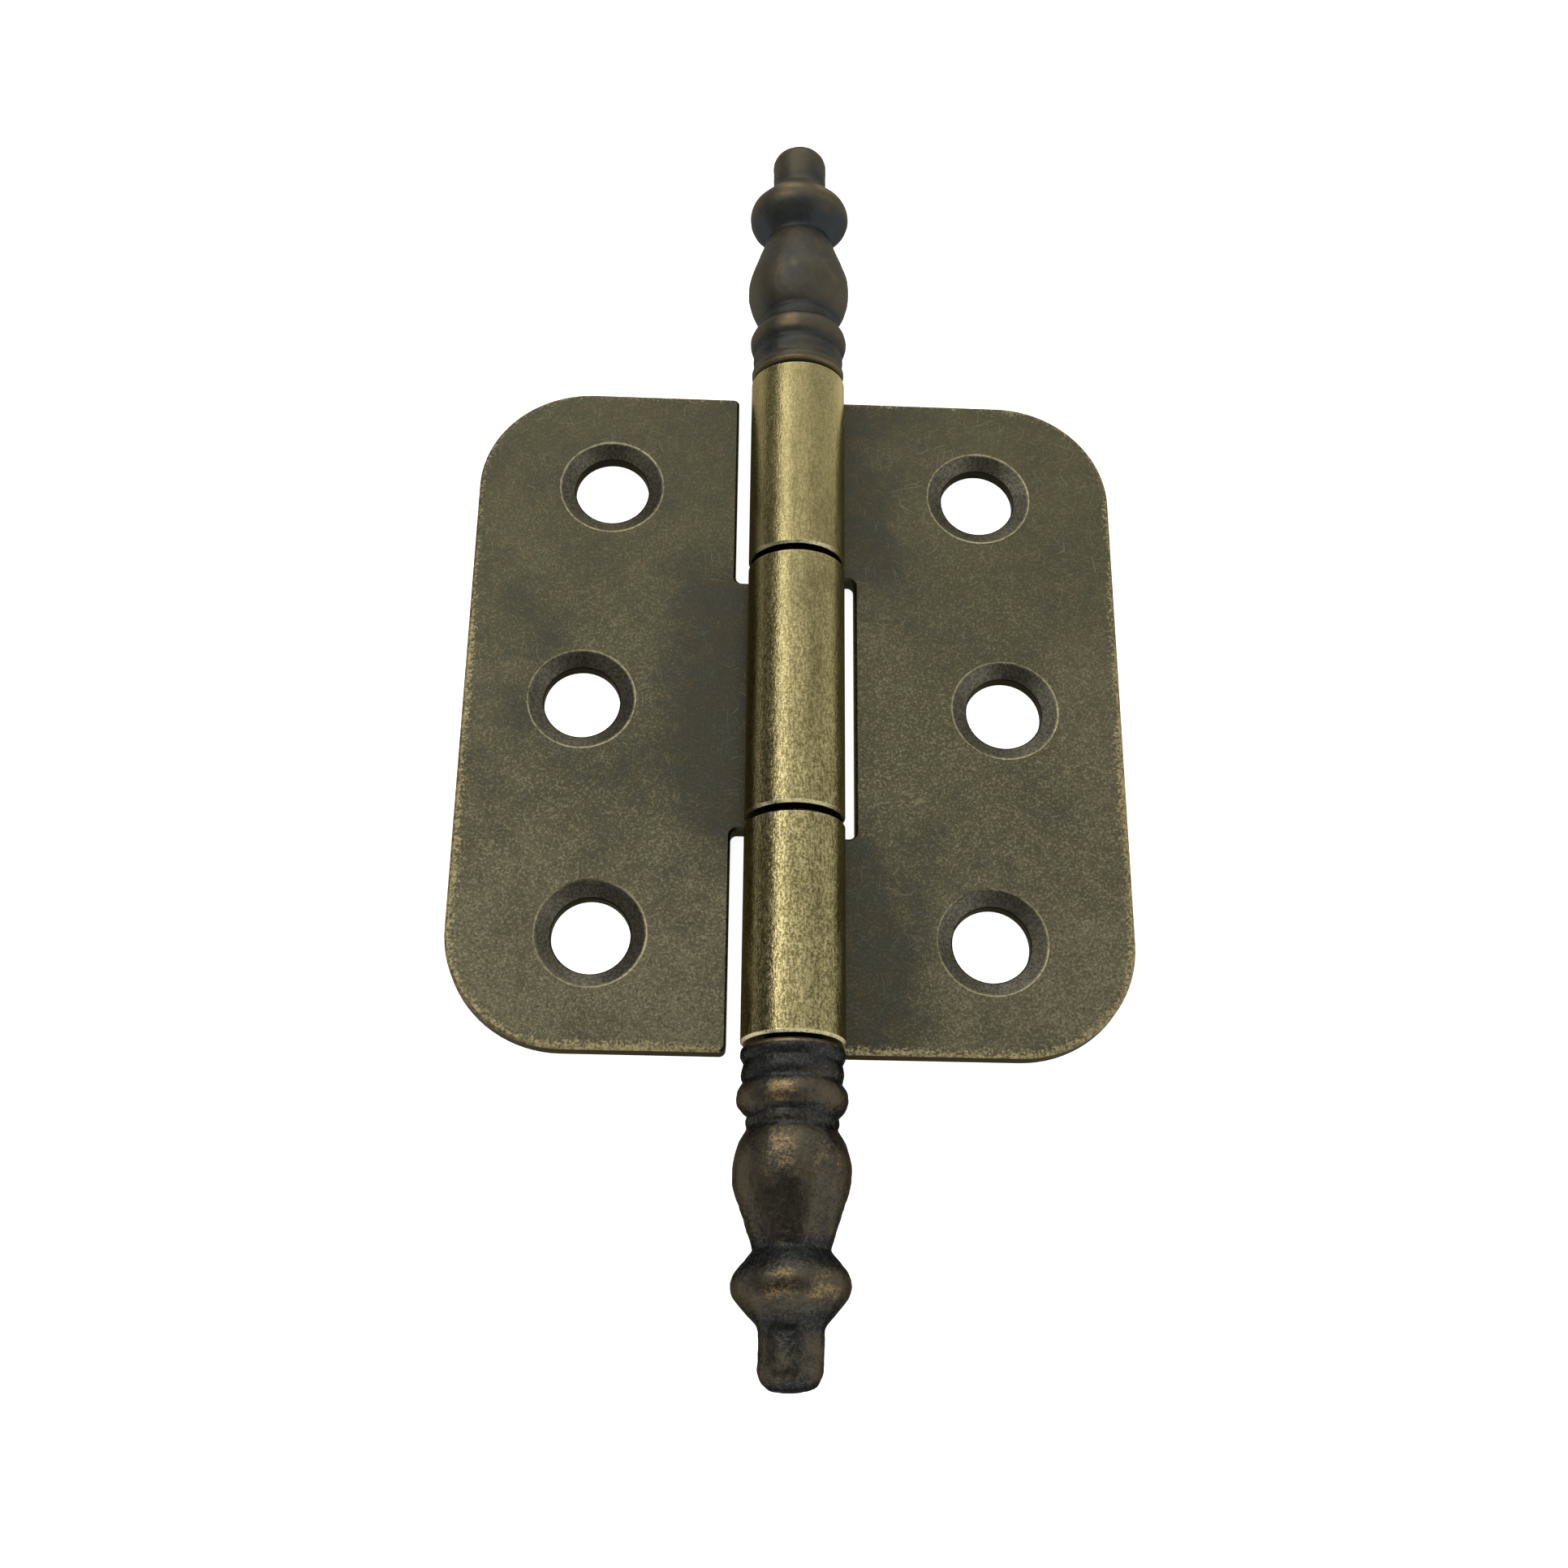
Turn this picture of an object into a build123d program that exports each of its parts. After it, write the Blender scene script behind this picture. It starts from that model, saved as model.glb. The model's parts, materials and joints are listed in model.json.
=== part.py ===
# Finial butt hinge for a cabinet door, lying open and flat with its countersunk side up.
# Millimetres. The origin is on the pin's axis at the middle of the barrel: +Y runs along the pin to
# the upper finial, +X across the leaf that carries the two end knuckles, +Z up from the leaves.
from build123d import *
from math import acos, asin, atan2, cos, degrees, hypot, sin
import os

# Leaves: stamped from one sheet, the knuckles rolled from its own tabs
leaf_height = 50.0
leaf_reach = 23.0  # from the pin's axis to the leaf's outer edge
sheet_thickness = 1.5
corner_radius = 8.0
relief_reach = 4.25  # from the pin's axis to the leaf's edge beside the other leaf's knuckle
relief_radius = 0.45
edge_break = 0.18  # the sheet's edges are eased on both faces

# Barrel: three knuckles, the middle one on the left leaf
centre_knuckle_length = 19.0
knuckle_clearance = 0.45  # between neighbouring knuckles, along the pin
seam_clearance = 0.15  # between the rolled tab's end and the leaf it comes down on

# Pin and its running fit in the knuckles
pin_diameter = 3.7
pin_clearance = 0.05  # radial
pin_seat_depth = 7.0  # how far the pin is pressed into each finial
pin_chamfer = 0.3

# Screw holes: three to a leaf, the middle one set further out
hole_diameter = 5.3
countersink_diameter = 7.4
countersink_depth = 0.7
countersink_edge_break = 0.1
end_hole_reach = 13.4
middle_hole_reach = 14.8
end_hole_spacing = 34.2

# Finial: a round casting. Each length runs along the pin and starts where the one before it ends
finial_clearance = 0.3  # between the finial's seat and the knuckle's end
collar_foot_radius = 3.2
collar_radius = 3.38
collar_length = 1.0
ring_radius = 3.3
ring_length = 1.3
groove_radius = 3.13  # at the creases each side of that ring
bead_radius = 3.55
bead_length = 2.05
neck_radius = 2.87
neck_ring_radius = 3.0
neck_ring_length = 0.85
bulb_radius = 3.75
bulb_shoulder_length = 2.7  # from the neck to the bulb's widest place
bulb_taper_length = 4.75  # from there to the waist
waist_radius = 2.4
flare_radius = 3.72
flare_rounding = 1.45
flare_rise = 2.15  # from the waist to the flare's widest place
flare_fall = 2.45  # from there to the foot of the button
button_radius = 2.0
button_length = 3.8
button_foot_rounding = 0.5
button_end_rounding = 0.8
button_dome = 0.4  # how far the middle of the button's end stands out

# Worked out from the values above
knuckle_bore_radius = pin_diameter / 2 + pin_clearance
barrel_radius = knuckle_bore_radius + sheet_thickness
leaf_top = -knuckle_bore_radius
leaf_back = -barrel_radius
half_height = leaf_height / 2
centre_knuckle_end = centre_knuckle_length / 2
outer_knuckle_start = centre_knuckle_end + knuckle_clearance
finial_seat = half_height + finial_clearance
near = 0.01  # how close a coordinate or radius must come to count as equal

# The tab leaves the plate under the pin and goes round until its outer corner is the seam's
# clearance above the leaf
seam_angle = degrees(asin((knuckle_bore_radius - seam_clearance) / barrel_radius))
roll_angle = 270 + seam_angle


def leaf_blank(knuckle_spans):
    """The stamped outline of a leaf on the +X side, from the pin's axis to the outer edge."""
    plate_width = leaf_reach - relief_reach
    outline = Pos(relief_reach + plate_width / 2, 0) * Rectangle(plate_width, leaf_height)
    for low, high in knuckle_spans:
        outline += Pos(relief_reach / 2, (low + high) / 2) * Rectangle(relief_reach, high - low)
    outer_corners = outline.vertices().filter_by(lambda v: abs(v.X - leaf_reach) < near)
    outline = fillet(outer_corners, corner_radius)
    relief_corners = outline.vertices().filter_by(lambda v: abs(v.X - relief_reach) < near)
    outline = fillet(relief_corners, relief_radius)
    return Pos(0, 0, leaf_back) * extrude(outline, sheet_thickness)


def rolled_knuckle(low, high):
    """A tab curled round the pin: from under the axis, over the far side and down to the seam."""
    centre_z = (leaf_top + leaf_back) / 2
    section = Plane.YZ * Pos((low + high) / 2, centre_z) * Rectangle(high - low, sheet_thickness)
    return revolve(section, Axis.Y, revolution_arc=roll_angle)


def screw_hole(x, y):
    """A through hole with its countersink opening at the leaf's top face."""
    hole_radius = hole_diameter / 2
    rim_radius = countersink_diameter / 2
    through = Pos(x, y, leaf_back) * Cylinder(
        hole_radius, sheet_thickness, align=(Align.CENTER, Align.CENTER, Align.MIN)
    )
    sink = Pos(x, y, leaf_top) * Cone(
        hole_radius, rim_radius, countersink_depth, align=(Align.CENTER, Align.CENTER, Align.MAX)
    )
    return through + sink


def lies_flat_at(edge, height):
    """True for an edge that lies in the plane z = height, off the line where the tab starts to roll."""
    box = edge.bounding_box()
    level = abs(box.min.Z - height) < near and abs(box.max.Z - height) < near
    return level and abs(edge.center().X) > near


def circles_of(solid, radius):
    """The solid's round edges of one radius."""
    return solid.edges().filter_by(
        lambda e: e.geom_type == GeomType.CIRCLE and abs(e.radius - radius) < near
    )


def make_leaf(knuckle_spans):
    """One leaf on the +X side: blank, rolled knuckles, eased edges and screw holes."""
    leaf = leaf_blank(knuckle_spans)
    for low, high in knuckle_spans:
        leaf += rolled_knuckle(low, high)
    outline = leaf.edges().filter_by(lambda e: lies_flat_at(e, leaf_top) or lies_flat_at(e, leaf_back))
    leaf = chamfer(outline + circles_of(leaf, barrel_radius), edge_break)
    leaf -= screw_hole(middle_hole_reach, 0)
    for side in (-1, 1):
        leaf -= screw_hole(end_hole_reach, side * end_hole_spacing / 2)
    return chamfer(circles_of(leaf, countersink_diameter / 2), countersink_edge_break)


def tangent_point(outside, centre, radius, turn):
    """Where a line from a point outside a circle touches it; turn is +1 or -1, for either side."""
    along = atan2(outside[1] - centre[1], outside[0] - centre[0])
    spread = acos(radius / hypot(outside[0] - centre[0], outside[1] - centre[1]))
    angle = along + turn * spread
    return (centre[0] + radius * cos(angle), centre[1] + radius * sin(angle))


def ridge(start, top_radius, end):
    """A rounded ring of the finial, from one crease to the next."""
    return ThreePointArc(start, (top_radius, (start[1] + end[1]) / 2), end)


def finial_profile():
    """Half section of the upper finial: x is the radius, y the place along the pin."""
    collar_end = finial_seat + collar_length
    ring_end = collar_end + ring_length
    bead_end = ring_end + bead_length
    neck_end = bead_end + neck_ring_length
    bulb_widest = neck_end + bulb_shoulder_length
    waist = bulb_widest + bulb_taper_length
    flare_widest = waist + flare_rise
    flare_end = flare_widest + flare_fall
    tip = flare_end + button_length

    foot = (collar_foot_radius, finial_seat)
    collar_crease = (groove_radius, collar_end)
    ring_crease = (groove_radius, ring_end)
    bead_crease = (neck_radius, bead_end)
    neck_crease = (neck_radius, neck_end)
    rings = (
        ridge(foot, collar_radius, collar_crease)
        + ridge(collar_crease, ring_radius, ring_crease)
        + ridge(ring_crease, bead_radius, bead_crease)
        + ridge(bead_crease, neck_ring_radius, neck_crease)
    )

    # The bulb's shoulder is one arc, which runs on into a straight taper down to the waist
    waist_point = (waist_radius, waist)
    shoulder_rise = bulb_radius - neck_radius
    shoulder_arc_radius = (bulb_shoulder_length**2 + shoulder_rise**2) / (2 * shoulder_rise)
    shoulder_centre = (bulb_radius - shoulder_arc_radius, bulb_widest)
    taper_start = tangent_point(waist_point, shoulder_centre, shoulder_arc_radius, -1)
    bulb = ThreePointArc(neck_crease, (bulb_radius, bulb_widest), taper_start)
    bulb += Line(taper_start, waist_point)

    # The flare is a round rim between two cones that touch it
    button_foot = (button_radius, flare_end)
    rim_centre = (flare_radius - flare_rounding, flare_widest)
    rim_start = tangent_point(waist_point, rim_centre, flare_rounding, 1)
    rim_end = tangent_point(button_foot, rim_centre, flare_rounding, -1)
    flare = Line(waist_point, rim_start)
    flare += ThreePointArc(rim_start, (flare_radius, flare_widest), rim_end)
    flare += Line(rim_end, button_foot)

    # The button is a short stem with a low dome on its end
    button_edge = (button_radius, tip - button_dome)
    dome_side = (-button_radius, tip - button_dome)
    dome = ThreePointArc(button_edge, (0, tip), dome_side).trim(0, 0.5)
    bore_end = finial_seat + pin_seat_depth
    pin_radius = pin_diameter / 2
    closing = Polyline((0, tip), (0, bore_end), (pin_radius, bore_end), (pin_radius, finial_seat), foot)
    section = make_face(rings + bulb + flare + Line(button_foot, button_edge) + dome + closing)

    foot_corner = section.vertices().sort_by_distance(Vector(*button_foot))[0]
    section = fillet(foot_corner, button_foot_rounding)
    end_corner = section.vertices().sort_by_distance(Vector(*button_edge))[0]
    return fillet(end_corner, button_end_rounding)


def make_pin():
    """The straight pin: it runs through the three knuckles and is pressed into both finials."""
    half_length = finial_seat + pin_seat_depth
    pin = Plane.XZ * Cylinder(pin_diameter / 2, 2 * half_length)
    return chamfer(pin.edges().filter_by(GeomType.CIRCLE), pin_chamfer)


right_leaf = make_leaf([(-half_height, -outer_knuckle_start), (outer_knuckle_start, half_height)])
left_leaf = mirror(make_leaf([(-centre_knuckle_end, centre_knuckle_end)]), Plane.YZ)
hinge_pin = make_pin()
upper_finial = revolve(finial_profile(), Axis.Y)
lower_finial = mirror(upper_finial, Plane.XZ)

os.makedirs("parts", exist_ok=True)
export_step(right_leaf, "parts/right_leaf.step")
export_step(left_leaf, "parts/left_leaf.step")
export_step(hinge_pin, "parts/hinge_pin.step")
export_step(upper_finial, "parts/upper_finial.step")
export_step(lower_finial, "parts/lower_finial.step")
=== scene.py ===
# %% [markdown]
# # A finial butt hinge in antiqued brass
#
# The hinge has five real pieces: two leaves of sheet brass whose tabs are rolled into knuckles, a pin
# through the knuckles, and a cast finial pressed on each end of the pin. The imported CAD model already
# has every one of them at its true size, so it is loaded as a fixed frame, and this script gives it
# what a photograph shows: the antiqued finish, the wear, and the rough skin of the castings.

# %% Load the frame
import bpy
import bmesh
import json
from math import acos, atan2, cos, hypot, pi, radians, sin
from mathutils import Matrix, Vector, noise


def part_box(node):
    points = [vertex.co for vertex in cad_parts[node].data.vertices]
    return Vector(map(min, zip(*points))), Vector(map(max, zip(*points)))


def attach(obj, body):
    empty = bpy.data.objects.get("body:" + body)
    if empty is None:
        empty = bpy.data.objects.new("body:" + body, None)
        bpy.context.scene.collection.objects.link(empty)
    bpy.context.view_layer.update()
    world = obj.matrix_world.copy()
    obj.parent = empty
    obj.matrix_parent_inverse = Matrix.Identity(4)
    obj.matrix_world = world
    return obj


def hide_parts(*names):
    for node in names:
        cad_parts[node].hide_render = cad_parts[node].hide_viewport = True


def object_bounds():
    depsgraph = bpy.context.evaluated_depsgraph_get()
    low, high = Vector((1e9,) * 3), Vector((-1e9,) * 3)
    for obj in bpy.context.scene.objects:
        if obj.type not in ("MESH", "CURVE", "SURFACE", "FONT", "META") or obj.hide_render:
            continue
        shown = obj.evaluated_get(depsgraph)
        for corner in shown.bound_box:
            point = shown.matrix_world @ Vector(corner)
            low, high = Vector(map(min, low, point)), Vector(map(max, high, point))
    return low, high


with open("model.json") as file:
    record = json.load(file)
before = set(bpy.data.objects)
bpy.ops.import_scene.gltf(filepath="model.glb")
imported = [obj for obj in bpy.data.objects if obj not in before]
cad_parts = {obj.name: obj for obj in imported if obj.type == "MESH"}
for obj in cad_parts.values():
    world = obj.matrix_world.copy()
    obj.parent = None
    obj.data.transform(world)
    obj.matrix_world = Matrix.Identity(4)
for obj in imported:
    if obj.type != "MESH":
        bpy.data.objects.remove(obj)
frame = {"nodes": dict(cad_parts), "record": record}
cad_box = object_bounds()
print("nodes:", ", ".join(sorted(frame["nodes"])))

# %% [markdown]
# Sizes here are in millimetres, because that is how a hinge is drawn. Blender works in metres, so
# one factor turns the finished mesh, the camera and the lamps into metres. The sizes that the
# finishes need are read from the frame's own boxes, so they follow the CAD if it changes.

# %% Sizes read from the frame
MM = 0.001
right_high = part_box("right_leaf")[1]
upper_low, upper_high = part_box("upper_finial")
pin_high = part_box("hinge_pin")[1]
barrel_radius = right_high.z / MM
leaf_reach = right_high.x / MM
half_height = right_high.y / MM
finial_seat = upper_low.y / MM
finial_tip = upper_high.y / MM
pin_radius = pin_high.x / MM
pin_end = pin_high.y / MM
floor_height = cad_box[0][2] / MM
sheet_thickness = 1.5
leaf_top = sheet_thickness - barrel_radius
print(f"barrel radius {barrel_radius:.2f} mm, leaf reach {leaf_reach:.2f} mm")
print(f"floor at {floor_height:.2f} mm")

# %% [markdown]
# The photograph looks down on the hinge from its lower end, square to the barrel, through a phone's
# fairly wide lens, which is why the near end looks larger. The camera stands where lines drawn
# through the leaf's corners, the knuckle ends and the finial tips all meet. Its place, the point it
# looks at and its small roll are all that is needed.

# %% The camera
camera_place = Vector((-6.0, -58.3, 121.8)) * MM
camera_aim = Vector((-0.74, -6.87, 0.0)) * MM
camera_roll = radians(0.56)
lens_length = 45.0
sensor_width = 36.0

view_direction = (camera_aim - camera_place).normalized()
view_right = view_direction.cross(Vector((0, 1, 0))).normalized()
view_up = view_right.cross(view_direction)
turned = Matrix((view_right, view_up, -view_direction)).transposed().to_4x4()
camera_data = bpy.data.cameras.new("camera")
camera_data.lens = lens_length
camera_data.sensor_width = sensor_width
camera_data.clip_start = MM
camera = bpy.data.objects.new("camera", camera_data)
camera.matrix_world = Matrix.Translation(camera_place) @ turned @ Matrix.Rotation(camera_roll, 4, "Z")
bpy.context.scene.collection.objects.link(camera)
bpy.context.scene.camera = camera
print(f"the camera is {(camera_aim - camera_place).length / MM:.0f} mm from the hinge")

# %% [markdown]
# Metal shows what is around it more than it shows its own colour. So the studio is built first: a
# white room, a large soft lamp up on the left, a narrow one low behind the upper finial, and a few
# cards that the camera can't see. A dark card low on the left gives the barrel its hard dark edge, a
# grey one on the right lets it fall into shade, and a nearly black one hangs in front of the hinge,
# where the camera and its stand would be, because the castings mirror that dark shape.

# %% The white room
def make_world():
    """A plain white surround of brightness 1, for light and for what the metal mirrors."""
    world = bpy.data.worlds.new("white_room")
    world.use_nodes = True
    world.node_tree.nodes["Background"].inputs["Color"].default_value = (1, 1, 1, 1)
    world.node_tree.nodes["Background"].inputs["Strength"].default_value = 1.0
    bpy.context.scene.world = world


make_world()
bpy.context.scene.view_settings.view_transform = "Standard"

# %% Lamps and cards
def facing(place, target=Vector((0, 0, 0))):
    """A placement at a point, in millimetres, that looks at the target, its width along the barrel."""
    away = (place - target).normalized()
    along = (Vector((0, 1, 0)) - away * away.y).normalized()
    axes = Matrix((along, away.cross(along), away)).transposed().to_4x4()
    return Matrix.Translation(place * MM) @ axes


def soft_lamp(name, place, width, height, radiance):
    """A rectangular lamp. Its radiance is how bright it looks beside the white room, which is 1, and
    its power follows from that and its area."""
    data = bpy.data.lights.new(name, "AREA")
    data.shape = "RECTANGLE"
    data.size = width * MM
    data.size_y = height * MM
    data.energy = pi * width * height * MM * MM * radiance
    lamp = bpy.data.objects.new(name, data)
    lamp.matrix_world = facing(place)
    lamp.visible_camera = False
    bpy.context.scene.collection.objects.link(lamp)
    print(f"{name}: {data.energy:.2f} W")
    return lamp


def card(name, place, width, height, shade, target=Vector((0, 0, 0))):
    """A matt card beside the set that only the metal's reflections meet: black at shade 0."""
    shape = bmesh.new()
    bmesh.ops.create_grid(shape, x_segments=1, y_segments=1, size=0.5)
    bmesh.ops.scale(shape, vec=(width * MM, height * MM, 1), verts=shape.verts)
    mesh = bpy.data.meshes.new(name)
    shape.to_mesh(mesh)
    shape.free()
    finish = bpy.data.materials.new(name)
    finish.use_nodes = True
    board = finish.node_tree.nodes["Principled BSDF"]
    board.inputs["Base Color"].default_value = (shade, shade, shade, 1)
    board.inputs["Roughness"].default_value = 1.0
    board.inputs["Specular IOR Level"].default_value = 0.0
    mesh.materials.append(finish)
    panel = bpy.data.objects.new(name, mesh)
    panel.matrix_world = facing(place, target)
    panel.visible_camera = False
    panel.visible_shadow = False
    panel.visible_diffuse = False
    bpy.context.scene.collection.objects.link(panel)
    return panel


soft_lamp("window_lamp", Vector((-212, 176, 291)), width=420, height=150, radiance=1.45)
soft_lamp("far_lamp", Vector((-50, 330, 95)), width=100, height=320, radiance=1.5)
card("left_card", Vector((-85, 60, 41)), width=500, height=90, shade=0.13, target=Vector((0, 60, 41)))
card("low_right_card", Vector((85, 60, 6)), width=500, height=19, shade=0.45, target=Vector((0, 60, 6)))
card("right_card", Vector((260, 160, 240)), width=300, height=320, shade=0.60)
card("camera_card", Vector((-7, -95, 125)), width=158, height=190, shade=0.02, target=Vector((-7, -54, 2)))

# %% [markdown]
# The hinge lies on white paper. The paper glows a little for the camera, so that it photographs as
# plain white, and hardly at all for the metal, which would otherwise be lit from below.

# %% The floor
paper_shade = 0.9
glow_to_camera = 0.85
glow_in_metal = 0.1
paper_half_width = 1500.0


def make_floor():
    """A sheet of white paper under the hinge, which keeps the hinge's soft shadow."""
    paper = bpy.data.materials.new("white_paper")
    paper.use_nodes = True
    tree = paper.node_tree
    matt = tree.nodes["Principled BSDF"]
    matt.inputs["Base Color"].default_value = (paper_shade, paper_shade, paper_shade, 1)
    matt.inputs["Roughness"].default_value = 0.9
    matt.inputs["Specular IOR Level"].default_value = 0.1
    matt.inputs["Emission Color"].default_value = (1, 1, 1, 1)
    rays = tree.nodes.new("ShaderNodeLightPath")
    mirrored = tree.nodes.new("ShaderNodeMath")
    mirrored.operation = "MAXIMUM"
    tree.links.new(rays.outputs["Is Glossy Ray"], mirrored.inputs[0])
    tree.links.new(rays.outputs["Is Transmission Ray"], mirrored.inputs[1])
    faint = tree.nodes.new("ShaderNodeMath")
    faint.operation = "MULTIPLY"
    faint.inputs[1].default_value = glow_in_metal
    tree.links.new(mirrored.outputs[0], faint.inputs[0])
    lift = tree.nodes.new("ShaderNodeMath")
    lift.operation = "MULTIPLY_ADD"
    lift.inputs[1].default_value = glow_to_camera
    tree.links.new(rays.outputs["Is Camera Ray"], lift.inputs[0])
    tree.links.new(faint.outputs[0], lift.inputs[2])
    tree.links.new(lift.outputs[0], matt.inputs["Emission Strength"])
    shape = bmesh.new()
    bmesh.ops.create_grid(shape, x_segments=1, y_segments=1, size=paper_half_width * MM)
    bmesh.ops.translate(shape, vec=(0, 0, floor_height * MM), verts=shape.verts)
    mesh = bpy.data.meshes.new("floor")
    shape.to_mesh(mesh)
    shape.free()
    mesh.materials.append(paper)
    floor = bpy.data.objects.new("floor", mesh)
    bpy.context.scene.collection.objects.link(floor)


make_floor()

# %% [markdown]
# Every finish below is made of the same few steps: a place on the piece in millimetres, noise of a
# known grain size, a soft threshold, and a blend of two colours. Short helpers keep those steps
# readable. Each one adds a node and hands back its output, so that finishes read like arithmetic.

# %% Helpers for shader nodes
class Finish:
    """One metal finish: its node tree, its shader, and the point on the piece in millimetres."""

    def __init__(self, name):
        self.material = bpy.data.materials.new(name)
        self.material.use_nodes = True
        self.tree = self.material.node_tree
        self.shader = self.tree.nodes["Principled BSDF"]
        coordinates = self.tree.nodes.new("ShaderNodeTexCoord")
        self.point = self.vector("SCALE", coordinates.outputs["Object"], scale=1 / MM)
        apart = self.tree.nodes.new("ShaderNodeSeparateXYZ")
        self.tree.links.new(self.point, apart.inputs[0])
        self.x, self.y, self.z = apart.outputs

    def put(self, value, socket):
        """A link if the value comes from a node, or else a plain number or colour on the socket."""
        if isinstance(value, bpy.types.NodeSocket):
            self.tree.links.new(value, socket)
        elif socket.type == "RGBA":
            socket.default_value = (*value, 1)
        else:
            socket.default_value = value

    def vector(self, operation, value, other=None, scale=None):
        """One step of arithmetic on a point."""
        made = self.tree.nodes.new("ShaderNodeVectorMath")
        made.operation = operation
        self.put(value, made.inputs[0])
        if other is not None:
            self.put(other, made.inputs[1])
        if scale is not None:
            self.put(scale, made.inputs["Scale"])
        return made.outputs[0]

    def math(self, operation, value, other=0.0, third=0.0):
        """One step of arithmetic on numbers."""
        made = self.tree.nodes.new("ShaderNodeMath")
        made.operation = operation
        self.put(value, made.inputs[0])
        self.put(other, made.inputs[1])
        self.put(third, made.inputs[2])
        return made.outputs[0]

    def length(self, across, along):
        """How long a line is that goes so far across and so far along."""
        squares = self.math("MULTIPLY_ADD", across, across, self.math("MULTIPLY", along, along))
        return self.math("SQRT", squares)

    def vary(self, value, noise, amount):
        """The value, moved up where the noise is above a half and down where it is below."""
        return self.math("MULTIPLY_ADD", self.math("SUBTRACT", noise, 0.5), amount, value)

    def ramp(self, value, low, high):
        """0 below low and 1 above high, with a soft step between; low may be above high."""
        made = self.tree.nodes.new("ShaderNodeMapRange")
        made.interpolation_type = "SMOOTHSTEP"
        self.put(value, made.inputs["Value"])
        self.put(low, made.inputs["From Min"])
        self.put(high, made.inputs["From Max"])
        return made.outputs["Result"]

    def noise(self, grain, detail=2.0, roughness=0.5, stretch=(1, 1, 1), shift=(0, 0, 0), turn=0.0,
              point=None):
        """Noise whose blobs are about one grain across, in millimetres. stretch draws them out along an
        axis, turn turns them, and shift picks another part of the noise."""
        placed = self.tree.nodes.new("ShaderNodeMapping")
        placed.vector_type = "TEXTURE"
        placed.inputs["Location"].default_value = shift
        placed.inputs["Rotation"].default_value = (0, 0, turn)
        placed.inputs["Scale"].default_value = stretch
        self.tree.links.new(point or self.point, placed.inputs["Vector"])
        made = self.tree.nodes.new("ShaderNodeTexNoise")
        made.inputs["Scale"].default_value = 0.5 / grain
        made.inputs["Detail"].default_value = detail
        made.inputs["Roughness"].default_value = roughness
        self.tree.links.new(placed.outputs[0], made.inputs["Vector"])
        return made.outputs["Fac"]

    def grit(self, grain, shift=(0, 0, 0)):
        """A random value for each tiny cell of the surface, about one grain across."""
        placed = self.vector("ADD", self.point, shift)
        made = self.tree.nodes.new("ShaderNodeTexVoronoi")
        made.feature = "F1"
        made.inputs["Scale"].default_value = 1 / grain
        self.tree.links.new(placed, made.inputs["Vector"])
        apart = self.tree.nodes.new("ShaderNodeSeparateColor")
        self.tree.links.new(made.outputs["Color"], apart.inputs[0])
        return apart.outputs[0]

    def stored(self, name):
        """A value that the mesh keeps on each of its vertices."""
        made = self.tree.nodes.new("ShaderNodeAttribute")
        made.attribute_name = name
        return made.outputs["Fac"]

    def blend(self, factor, first, second):
        """A colour that goes from the first to the second as the factor goes from 0 to 1."""
        made = self.tree.nodes.new("ShaderNodeMix")
        made.data_type = "RGBA"
        first_colour, second_colour, mixed_colour = 6, 7, 2
        self.put(factor, made.inputs[0])
        self.put(first, made.inputs[first_colour])
        self.put(second, made.inputs[second_colour])
        return made.outputs[mixed_colour]

    def bump(self, height, distance, under=None):
        """Relief of a given depth in millimetres, on top of the relief under it."""
        made = self.tree.nodes.new("ShaderNodeBump")
        made.inputs["Distance"].default_value = distance * MM
        self.tree.links.new(height, made.inputs["Height"])
        if under is not None:
            self.tree.links.new(under, made.inputs["Normal"])
        return made.outputs["Normal"]


# %% [markdown]
# The leaves are sheet brass, darkened in an oxidising bath and then tumbled and lacquered. The bath
# leaves an olive brown that is never even: the tumbling lifts it in fine specks, long patches and
# stray scratches, and takes most of it off where the metal stands proud. That is along the sheet's
# edges, round the countersinks, and above all on the barrel. So the finish asks each point where on
# the leaf it is, and how exposed that place would be.

# %% Colours of the antiqued brass
brown_oxide = (0.062, 0.055, 0.037)
green_oxide = (0.056, 0.057, 0.043)
olive_brass = (0.102, 0.090, 0.052)
green_brass = (0.092, 0.090, 0.050)
lighter_olive = (0.150, 0.135, 0.080)
worn_olive = (0.270, 0.245, 0.150)
scratch_brass = (0.230, 0.205, 0.130)
rubbed_brass = (0.280, 0.225, 0.110)
gilt_brass = (0.440, 0.365, 0.180)
# The pale rims of the countersinks and knuckles are partly wear and partly painted highlight.
sink_rim_wear_and_highlight = (0.420, 0.370, 0.220)
knuckle_rim_wear_and_highlight = (0.640, 0.570, 0.330)
flank_brown = (0.020, 0.018, 0.014)
barrel_brass = (0.350, 0.295, 0.130)
# The barrel's pale and dark colours make its grain, pits and stains, and also its painted highlight and
# painted shade.
barrel_grain_and_highlight = (0.640, 0.565, 0.300)
barrel_pits_and_shade = (0.100, 0.080, 0.036)
sink_shade = (0.080, 0.075, 0.056)
sink_light = (0.165, 0.152, 0.110)
throat_black = (0.018, 0.018, 0.015)
# Painted shade for the inside of the roll.
bore_shade_black = (0.012, 0.011, 0.009)
lacquer_tint = (0.60, 0.56, 0.46, 1)

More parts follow.
